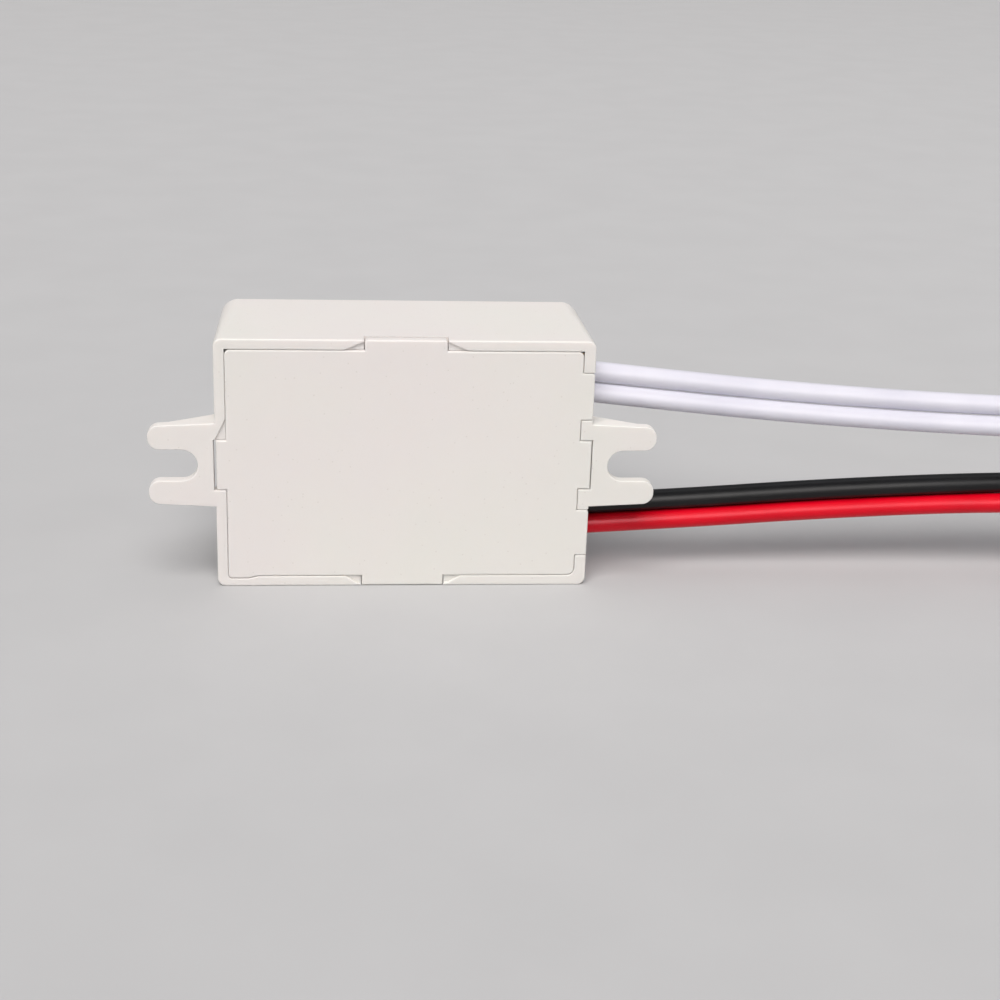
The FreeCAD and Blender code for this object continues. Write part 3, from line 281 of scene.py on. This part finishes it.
insul = {
    "white": insulation("insulation_white", (0.69, 0.68, 0.755), (0.655, 0.645, 0.725), (0.72, 0.71, 0.78), 0.38, 0.42, (0.62, 0.61, 0.66), 0.15),
    "red": insulation("insulation_red", (0.68, 0.0012, 0.013), (0.61, 0.001, 0.011), (0.74, 0.002, 0.017), 0.30, 0.36, (0.60, 0.03, 0.05), 0.08),
    "black": insulation("insulation_black", (0.0045, 0.0045, 0.0052), (0.0035, 0.0035, 0.004), (0.0065, 0.0065, 0.0075), 0.36, 0.27, (0.035, 0.035, 0.037), 0.25),
}
insul["white"].put(sss=0.12, sss_scale=0.0006)
insul["red"].b.inputs["Specular Tint"].default_value = (1.0, 0.55, 0.62, 1.0)
tinned = metal("tinned_copper", (0.66, 0.655, 0.63), (0.2, 0.38))


def strand_end(name, node, start, run):
    """The tinned end of a lead: twisted strands under a thin coat of tin."""
    bm = bmesh.new()
    side = run.orthogonal().normalized()
    other = run.cross(side)
    rings, around, lobes, length = 44, 72, 8, 7.0
    last = None
    for i in range(rings + 1):
        s = length * i / rings
        left = length - s
        shrink = 1.0 if left > 0.3 else math.sqrt(max(0.0, 1 - (1 - left / 0.3) ** 2)) * 0.45 + 0.55
        ring = []
        for k in range(around):
            a = 2 * math.pi * k / around
            twist = s * 2 * math.pi / 15.0
            r = (0.425 + 0.072 * abs(math.cos(lobes * (a - twist) / 2)) ** 0.6) * shrink
            ring.append(bm.verts.new(start + (run * s + (side * math.cos(a) + other * math.sin(a)) * r) * MM))
        if last:
            for k in range(around):
                bm.faces.new((last[k], last[(k + 1) % around], ring[(k + 1) % around], ring[k]))
        else:
            bm.faces.new(list(reversed(ring)))
        last = ring
    # the cut face, a little domed
    tip = bm.verts.new(start + run * (length) * MM)
    for k in range(around):
        bm.faces.new((last[k], last[(k + 1) % around], tip))
    bmesh.ops.recalc_face_normals(bm, faces=bm.faces)
    o = piece(name, bm, tinned, "case")
    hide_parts(node)
    return o


leads = {}
for name, route in ROUTES.items():
    cu = bpy.data.curves.new(name + "_curve", "CURVE")
    cu.dimensions = "3D"
    sp = cu.splines.new("NURBS")
    sp.points.add(len(route) - 1)
    for i, p in enumerate(route):
        sp.points[i].co = (*P(*p), 1)
    sp.order_u = 3
    sp.use_endpoint_u = True
    sp.resolution_u = 16
    sp.use_smooth = True
    thick = THICK[name.split("_")[0]]
    cu.bevel_depth = thick / 2
    cu.bevel_resolution = 8
    cu.use_fill_caps = True
    o = bpy.data.objects.new("cable_" + name, cu)
    scene.collection.objects.link(o)
    cu.materials.append(insul[name.split("_")[0]].m)
    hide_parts(name)
    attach(o, "case")
    last, before = P(*route[-1]), P(*route[-2])
    end = strand_end("strands_" + ENDS[name], ENDS[name], last, (last - before).normalized())
    leads[name] = o

# ---------------------------------------------------------------- floor and light
bm = bmesh.new()
bmesh.ops.create_grid(bm, x_segments=2, y_segments=2, size=6.0)
me = bpy.data.meshes.new("floor")
bm.to_mesh(me)
bm.free()
floor = bpy.data.objects.new("floor", me)
scene.collection.objects.link(floor)
fm = Mat("floor_paper", rough=0.9, spec=0.2)
fm.color(fm.ramp(fm.noise(60, 3, 0.5), [(0.35, (0.50, 0.50, 0.505)), (0.65, (0.512, 0.512, 0.517))]))
fm.bump(fm.noise(1400, 3, 0.6), 0.00002, 0.3)
me.materials.append(fm.m)

world = bpy.data.worlds.new("studio")
scene.world = world
world.use_nodes = True
bg = world.node_tree.nodes["Background"]
bg.inputs[0].default_value = (0.95, 0.96, 1.0, 1)
bg.inputs[1].default_value = 0.25


def area(name, where, target, size, size_y, power, colour=(1, 1, 1)):
    li = bpy.data.lights.new(name, "AREA")
    li.shape = "RECTANGLE"
    li.size = size
    li.size_y = size_y
    li.energy = power
    li.color = colour
    o = bpy.data.objects.new(name, li)
    scene.collection.objects.link(o)
    o.location = where
    o.rotation_euler = (Vector(target) - Vector(where)).to_track_quat("-Z", "Y").to_euler()
    return o


# the key is a broad even light from the front, above and a little to the left
sun = bpy.data.lights.new("key", "SUN")
sun.energy = 3.09
sun.angle = math.radians(44)
sun.color = (1.0, 0.97, 0.945)
key = bpy.data.objects.new("key", sun)
scene.collection.objects.link(key)
key.rotation_euler = Vector((0.13, 0.52, -0.735)).to_track_quat("-Z", "Y").to_euler()
key.visible_glossy = False
# the shine on round shapes comes from a broad light just above the camera
shine = bpy.data.lights.new("shine", "SUN")
shine.energy = 3.15
shine.angle = math.radians(44)
shine.color = (1.0, 0.97, 0.945)
gloss = bpy.data.objects.new("shine", shine)
scene.collection.objects.link(gloss)
gloss.rotation_euler = Vector((0.10, 0.90, -0.42)).to_track_quat("-Z", "Y").to_euler()
gloss.visible_diffuse = False
area("overhead", (0.15, 0.25, 0.80), (0.01, 0, 0.015), 0.6, 0.5, 0.7, (0.97, 0.98, 1.0))
area("fill", (0.75, -0.35, 0.35), (0.02, 0, 0.015), 0.5, 0.5, 0.5, (0.95, 0.97, 1.0))

# ---------------------------------------------------------------- case shell and bottom cover
case = Mat("case_plastic", spec=0.42, sss=0.45, sss_scale=0.0007)
warm = case.ramp(case.noise(38, 3, 0.5), [(0.36, (0.775, 0.735, 0.715)), (0.5, (0.775, 0.745, 0.715)), (0.64, (0.765, 0.748, 0.708))])
flecks = case.span(case.voronoi(900), 0.0, 1.0, 0.05, 0.11)
case.color(case.mix(flecks, (0.70, 0.665, 0.63), warm))
case.feed("Roughness", case.span(case.noise(900, 3, 0.6), 0.46, 0.60))
flow = case.bump(case.noise(140, 2, 0.5), 0.00005, 0.45)
case.bump(case.noise(5200, 3, 0.6), 0.000012, 0.7, under=flow)
dress("case_shell", case)
dress("bottom_cover", case)

# ---------------------------------------------------------------- circuit board, its tracks and joints
BOARD_OUT, BOARD_IN = -0.0074, -0.0058
board = Mat("board_laminate", spec=0.5)
deep = board.axis("Y")
face = board.math("MAXIMUM", board.between(deep, BOARD_OUT - 0.00003, BOARD_OUT + 0.00003), board.between(deep, BOARD_IN - 0.00003, BOARD_IN + 0.00003))
weave = board.math("MULTIPLY", board.stripes("X", 0.0009), board.stripes("Z", 0.0009))
green = board.mix(weave, (0.010, 0.115, 0.042), (0.014, 0.15, 0.056))
edge = board.ramp(board.stripes("Y", 0.0002), [(0.2, (0.50, 0.46, 0.24)), (0.8, (0.62, 0.58, 0.34))])
board.color(board.mix(face, edge, board.mix(board.span(board.noise(130, 4, 0.6), 0.0, 0.6), green, (0.016, 0.17, 0.07))))
board.feed("Roughness", board.span(board.noise(600, 3, 0.6), 0.26, 0.42))
board.bump(board.noise(1500, 3, 0.55), 0.00001, 0.5)
dress("circuit_board", board)

masked = Mat("masked_copper", spec=0.5, coat=0.3, coat_rough=0.2)
masked.color(masked.ramp(masked.noise(240, 4, 0.6), [(0.3, (0.035, 0.24, 0.085)), (0.7, (0.055, 0.31, 0.12))]))
masked.feed("Roughness", masked.span(masked.noise(700, 3, 0.6), 0.24, 0.4))
masked.bump(masked.noise(1800, 3, 0.55), 0.00001, 0.5)
solder = metal("solder", (0.70, 0.71, 0.72), (0.14, 0.34), depth=0.00001)
dress("solder_joints", solder)


def outline(points, wide):
    """The outline of a flat strip with round ends along some points, as x and z in mm."""
    pts = [Vector(p) for p in points]
    half = wide / 2
    left, other = [], []
    for i, p in enumerate(pts):
        if i == 0:
            d = (pts[1] - p).normalized()
            n, k = Vector((-d.y, d.x)), 1.0
        elif i == len(pts) - 1:
            d = (p - pts[i - 1]).normalized()
            n, k = Vector((-d.y, d.x)), 1.0
        else:
            a, b = (p - pts[i - 1]).normalized(), (pts[i + 1] - p).normalized()
            n = (Vector((-a.y, a.x)) + Vector((-b.y, b.x))).normalized()
            k = 1 / max(0.4, n.dot(Vector((-a.y, a.x))))
        left.append(p + n * half * k)
        other.append(p - n * half * k)

    def cap(p, q, centre):
        a0 = math.atan2(*reversed(p - centre))
        return [centre + Vector((math.cos(a0 - math.pi * j / 8), math.sin(a0 - math.pi * j / 8))) * half for j in range(1, 8)]
    return left + cap(left[-1], other[-1], pts[-1]) + list(reversed(other)) + cap(other[0], left[0], pts[0])


def slab(bm, ring, y0, y1):
    """A flat prism between two depths from its outline."""
    a = [bm.verts.new((p[0] * MM, y0, p[1] * MM)) for p in ring]
    b = [bm.verts.new((p[0] * MM, y1, p[1] * MM)) for p in ring]
    n = len(ring)
    made = [bm.faces.new(a), bm.faces.new(list(reversed(b)))]
    for i in range(n):
        made.append(bm.faces.new((a[i], b[i], b[(i + 1) % n], a[(i + 1) % n])))
    return made


TRACKS = [
    # mains side, wide
    (1.7, [(16.35, 5.7), (11.6, 5.7), (7.6, 7.6), (2.6, 8.5), (-0.7, 10.7)]),
    (1.5, [(14.15, 8.6), (12.1, 11.4), (10.6, 13.6), (10.6, 21.4), (9.3, 24.0), (10.6, 26.7), (14.2, 26.7), (16.35, 24.55)]),
    (1.2, [(16.35, 8.35), (18.9, 10.8), (20.0, 13.4), (20.0, 25.2), (18.6, 27.2), (16.35, 27.2)]),
    (1.0, [(18.9, 21.2), (15.7, 21.6), (12.65, 24.1)]),
    # bridge
    (1.0, [(15.11, 15.2), (15.11, 18.3)]),
    (1.0, [(-1.91, 15.2), (-1.91, 18.3), (-2.35, 24.1)]),
    (1.0, [(7.49, 18.3), (5.71, 18.3)]),
    (1.0, [(7.49, 15.2), (5.71, 15.2)]),
    # supply and control, thin
    (0.7, [(5.71, 18.3), (4.2, 21.2), (-0.4, 21.2), (-0.4, 26.4), (-5.2, 28.3), (-8.39, 28.3)]),
    (0.8, [(5.71, 15.2), (3.4, 13.4), (-2.4, 13.2), (-5.2, 11.4), (-6.2, 8.0), (-7.5, 5.2)]),
    (0.5, [(-3.79, 13.95), (-3.79, 16.45)]),
    (0.5, [(-3.79, 18.95), (-5.2, 21.0), (-6.3, 24.3)]),
    (0.5, [(-11.41, 13.95), (-12.39, 12.64)]),
    (0.5, [(-11.41, 16.45), (-12.39, 15.18)]),
    (0.5, [(-11.41, 18.95), (-12.39, 17.72)]),
    (0.5, [(-12.39, 20.26), (-11.03, 22.6)]),
    (0.5, [(-9.7, 24.3), (-9.7, 26.4), (-12.6, 26.4), (-14.23, 24.3)]),
    (0.5, [(-13.57, 22.6), (-16.6, 22.4)]),
    (0.5, [(-16.77, 24.3), (-18.0, 25.4), (-19.6, 26.6)]),
    (0.5, [(-18.6, 22.4), (-19.6, 24.6)]),
    (0.6, [(-16.01, 28.3), (-19.4, 28.6)]),
    (0.5, [(-20.01, 20.26), (-18.6, 22.4)]),
    (0.5, [(-20.01, 12.64), (-20.01, 9.6), (-17.45, 7.4)]),
    (0.5, [(-20.01, 17.72), (-18.2, 16.4), (-16.0, 14.0), (-13.0, 10.9), (-9.77, 9.7)]),
    (0.8, [(-13.95, 7.4), (-11.8, 5.2), (-9.5, 5.2)]),
    (0.8, [(-17.45, 7.4), (-17.45, 4.0), (-8.6, 3.0), (2.1, 5.0)]),
    (0.5, [(-7.23, 9.7), (-4.6, 9.7), (-3.4, 12.0), (2.1, 12.2)]),
]
bm = bmesh.new()
for k, (wide, pts) in enumerate(TRACKS):
    slab(bm, outline(pts, wide), BOARD_OUT + 0.00001, BOARD_OUT - 0.00003 - 0.000002 * (k % 4))
bmesh.ops.recalc_face_normals(bm, faces=bm.faces)
piece("board_tracks", bm, masked, "case", smooth=False)

PADS = [(-2.35, 24.1, .8), (12.65, 24.1, .8), (-17.45, 7.4, .8), (-13.95, 7.4, .8), (-9.5, 5.2, .75), (-7.5, 5.2, .75),
        (-16.01, 28.3, .75), (-8.39, 28.3, .75), (18.9, 10.8, .8), (18.9, 21.2, .8),
        (-18.6, 22.4, .75), (-16.6, 22.4, .75), (-19.6, 24.6, .75), (-19.6, 26.6, .75),
        (-16.77, 24.3, .75), (-14.23, 24.3, .75), (-9.7, 24.3, .75), (-6.3, 24.3, .75),
        (2.1, 12.2, .85), (2.1, 5.0, .85), (-0.7, 10.7, .9), (16.35, 27.2, .95), (16.35, 24.55, .95), (16.35, 8.35, .95), (16.35, 5.7, .95)]
PADS += [(x, z, 0.86) for x in (-1.91, 5.71, 7.49, 15.11) for z in (15.2, 18.3)]
PADS += [(x, z, 0.75) for x in (-11.41, -3.79) for z in (13.95, 16.45, 18.95)]
PADS += [(x, z, 0.78) for x in (-20.01, -12.39) for z in (12.64, 15.18, 17.72, 20.26)]
PADS += [(x, 9.7, 0.58) for x in (-9.77, -8.5, -7.23)] + [(x, 22.6, 0.58) for x in (-13.57, -12.3, -11.03)]
bm = bmesh.new()
for x, z, r in PADS:
    wide = r + (0.04 if r < 0.6 else 0.18)
    slab(bm, [(x + wide * math.cos(2 * math.pi * j / 28), z + wide * math.sin(2 * math.pi * j / 28)) for j in range(28)],
         BOARD_OUT + 0.00001, BOARD_OUT - 0.000045)
slab(bm, outline([(15.3, 7.6), (15.3, 9.6)], 2.3), BOARD_OUT + 0.00001, BOARD_OUT - 0.000045)
bmesh.ops.recalc_face_normals(bm, faces=bm.faces)
piece("board_pads", bm, solder, "case", smooth=False)

# ---------------------------------------------------------------- sensors behind the roof
can = metal("mic_aluminium", (0.74, 0.74, 0.745), (0.28, 0.44), streak=(1, 8, 1))
dress("microphone_can", can)
felt = Mat("felt", spec=0.1, sheen=0.35)
felt.color(felt.ramp(felt.noise(5200, 4, 0.7), [(0.35, (0.006, 0.006, 0.007)), (0.65, (0.035, 0.034, 0.036))]))
felt.feed("Roughness", felt.span(felt.noise(3000, 3, 0.6), 0.85, 1.0))
felt.bump(felt.noise(6500, 4, 0.75), 0.00008, 1.0)
dress("microphone_felt", felt)
cell = moulded("light_cell", (0.72, 0.62, 0.44), 0.05, rough=(0.18, 0.3), grain=5200, coat=0.8, coat_rough=0.08)
dress("light_sensor", cell)
LX, LZ, LY = -8.0, 24.3, 0.01015
plate = metal("cell_electrode", (0.74, 0.70, 0.60), (0.25, 0.45), coat=0.8, coat_rough=0.08)
bm = bmesh.new()
ring = []
for j in range(64):
    a = 2 * math.pi * j / 64
    ring.append((LX + 2.12 * math.cos(a), LZ + max(-1.85, min(1.85, 2.12 * math.sin(a)))))
slab(bm, ring, LY - 0.00001, LY + 0.000015)
bmesh.ops.recalc_face_normals(bm, faces=bm.faces)
piece("light_sensor_electrodes", bm, plate, "case", smooth=False)
trace = moulded("cell_track", (0.33, 0.055, 0.012), 0.15, rough=(0.3, 0.5), grain=6500, coat=0.8, coat_rough=0.08)
path, runs, gap_x, tall = [], 6, 0.46, 1.25
for i in range(runs):
    x = LX + (i - (runs - 1) / 2) * gap_x
    ends = (-tall, tall) if i % 2 == 0 else (tall, -tall)
    for j, e in enumerate(ends):
        turn_in = 0.12
        if j == 0 and i:
            path.append((x - turn_in, LZ + e))
            path.append((x, LZ + e - math.copysign(turn_in, e)))
        elif j == 1 and i < runs - 1:
            path.append((x, LZ + e - math.copysign(turn_in, e)))
            path.append((x + turn_in, LZ + e))
        else:
            path.append((x, LZ + e))
bm = bmesh.new()
slab(bm, outline(path, 0.17), LY, LY + 0.00004)
bmesh.ops.recalc_face_normals(bm, faces=bm.faces)
piece("light_sensor_track", bm, trace, "case", smooth=False)
bm = bmesh.new()
for sx in (-1, 1):
    dome = bmesh.ops.create_uvsphere(bm, u_segments=24, v_segments=12, radius=1.0)
    bmesh.ops.transform(bm, verts=dome["verts"], matrix=Matrix.Translation((( LX + 1.7 * sx) * MM, LY, LZ * MM)) @ Matrix.Diagonal((0.30 * MM, 0.10 * MM, 0.30 * MM, 1)))
piece("light_sensor_contacts", bm, solder, "case")
tube = moulded("clear_sleeve", (0.62, 0.60, 0.52), 0.06, rough=(0.25, 0.4), grain=3000, sss=0.35, sss_scale=0.0006)
dress("light_sensor_sleeves", tube)

# ---------------------------------------------------------------- parts on the board
for n in ("microphone_legs", "light_sensor_legs", "film_capacitor_legs", "filter_capacitor_legs", "timing_capacitor_legs",
          "rectifier_diode_wires", "zener_diode_wires", "resistor_wires", "fusible_resistor_wires", "control_chip_legs",
          "transistor_legs", "ceramic_capacitor_legs", "relay_pins", "lead_tails"):
    dress(n, tinned)
dress("film_capacitor", moulded("film_box", (0.72, 0.42, 0.035), 0.06, rough=(0.38, 0.55), grain=2600, depth=0.00002))
alu = metal("can_aluminium", (0.77, 0.77, 0.78), (0.2, 0.34), streak=(1, 5, 1))
dress("filter_capacitor_can", alu)
sleeve = Mat("capacitor_sleeve", spec=0.5)
turn = sleeve.math("ARCTAN2", sleeve.math("SUBTRACT", sleeve.axis("Z"), 0.0074), sleeve.math("SUBTRACT", sleeve.axis("X"), -0.0157))
band = sleeve.between(turn, 2.55, 3.13)
sleeve.color(sleeve.mix(band, sleeve.ramp(sleeve.noise(200, 3, 0.5), [(0.3, (0.010, 0.012, 0.02)), (0.7, (0.018, 0.02, 0.032))]), (0.42, 0.43, 0.45)))
sleeve.feed("Roughness", sleeve.span(sleeve.noise(800, 3, 0.6), 0.24, 0.42))
sleeve.bump(sleeve.noise(420, 2, 0.5), 0.00002, 0.6)
dress("filter_capacitor_sleeve", sleeve)
dress("filter_capacitor_bung", moulded("bung_rubber", (0.022, 0.022, 0.022), 0.2, rough=(0.7, 0.9), grain=2200, depth=0.00002))
timing = Mat("timing_sleeve", spec=0.5)
top = timing.between(timing.axis("Y"), 0.0052, 0.0060)
timing.color(timing.mix(top, timing.ramp(timing.noise(260, 3, 0.5), [(0.3, (0.010, 0.028, 0.11)), (0.7, (0.016, 0.045, 0.17))]), (0.74, 0.74, 0.75)))
timing.feed("Metallic", top)
timing.feed("Roughness", timing.span(timing.noise(800, 3, 0.6), 0.22, 0.4))
timing.bump(timing.noise(420, 2, 0.5), 0.00002, 0.6)
dress("timing_capacitor", timing)

epoxy = moulded("black_epoxy", (0.020, 0.020, 0.021), 0.15, rough=(0.48, 0.66), grain=4200, depth=0.00002)
dress("control_chip", epoxy)
dress("transistors", epoxy)
diode = Mat("diode_epoxy", spec=0.4)
along = diode.axis("X")
ends = diode.math("MAXIMUM", diode.between(along, 0.00315, 0.00405), diode.between(along, 0.01255, 0.01345))
diode.color(diode.mix(ends, diode.ramp(diode.noise(500, 3, 0.6), [(0.3, (0.014, 0.014, 0.015)), (0.7, (0.026, 0.026, 0.027))]), (0.55, 0.56, 0.57)))
diode.feed("Roughness", diode.span(diode.noise(1200, 3, 0.6), 0.45, 0.62))
diode.bump(diode.noise(3800, 3, 0.6), 0.000015, 0.7)
dress("rectifier_diodes", diode)
glass = Mat("zener_glass", rough=0.08, ior=1.52, coat=1.0, coat_rough=0.04)
zx = glass.axis("X")
glass.color(glass.mix(glass.between(zx, -0.0138, -0.0131), glass.ramp(glass.noise(600, 3, 0.6), [(0.3, (0.45, 0.10, 0.025)), (0.7, (0.60, 0.16, 0.04))]), (0.01, 0.01, 0.01)))
glass.bump(glass.noise(700, 2, 0.5), 0.00001, 0.5)
dress("zener_diode", glass)
res = Mat("resistor_lacquer", spec=0.5, coat=0.4, coat_rough=0.15)
rx = res.axis("X")
tone = res.ramp(res.noise(600, 3, 0.6), [(0.3, (0.20, 0.40, 0.52)), (0.7, (0.26, 0.47, 0.60))])
for centre, colour in ((-9.5, (0.10, 0.03, 0.012)), (-8.6, (0.012, 0.012, 0.012)), (-7.6, (0.62, 0.16, 0.01)), (-6.6, (0.10, 0.03, 0.012)), (-5.5, (0.10, 0.03, 0.012))):
    tone = res.mix(res.between(rx, (centre - 0.24) * MM, (centre + 0.24) * MM), tone, colour)
res.color(tone)
res.feed("Roughness", res.span(res.noise(900, 3, 0.6), 0.25, 0.42))
res.bump(res.noise(900, 3, 0.6), 0.00002, 0.5)
dress("resistors", res)
dress("fusible_resistor", moulded("fuse_lacquer", (0.17, 0.27, 0.20), 0.12, rough=(0.6, 0.8), grain=1800, depth=0.00004))
dress("ceramic_capacitors", moulded("disc_lacquer", (0.55, 0.20, 0.03), 0.1, rough=(0.3, 0.5), grain=1600, depth=0.00002))

# ---------------------------------------------------------------- relay
dress("relay_case", moulded("relay_cover", (0.012, 0.075, 0.30), 0.1, rough=(0.34, 0.5), grain=3000, depth=0.000015))
dress("relay_base", moulded("relay_moulding", (0.022, 0.022, 0.023), 0.15, rough=(0.42, 0.6), grain=3000))
dress("relay_bobbin", moulded("bobbin_plastic", (0.66, 0.62, 0.50), 0.05, rough=(0.4, 0.55), grain=3000))
coil = Mat("coil_copper", metal=0.85)
coil.color(coil.ramp(coil.noise(500, 4, 0.6), [(0.3, (0.36, 0.10, 0.03)), (0.7, (0.60, 0.20, 0.07))]))
coil.feed("Roughness", coil.span(coil.noise(900, 3, 0.6), 0.22, 0.38))
coil.bump(coil.stripes("Y", 0.00011), 0.00005, 1.0)
dress("relay_coil", coil)
iron = metal("soft_iron", (0.60, 0.60, 0.59), (0.26, 0.42), streak=(1, 1, 6))
for n in ("relay_core", "relay_yoke", "relay_armature"):
    dress(n, iron)
bronze = metal("spring_bronze", (0.66, 0.42, 0.17), (0.2, 0.36), streak=(5, 1, 1))
for n in ("relay_contact_leaf", "relay_fixed_blade", "relay_hinge_spring"):
    dress(n, bronze)
silver = metal("contact_silver", (0.82, 0.82, 0.80), (0.16, 0.3))
for n in ("relay_moving_contact", "relay_fixed_contact"):
    dress(n, silver)
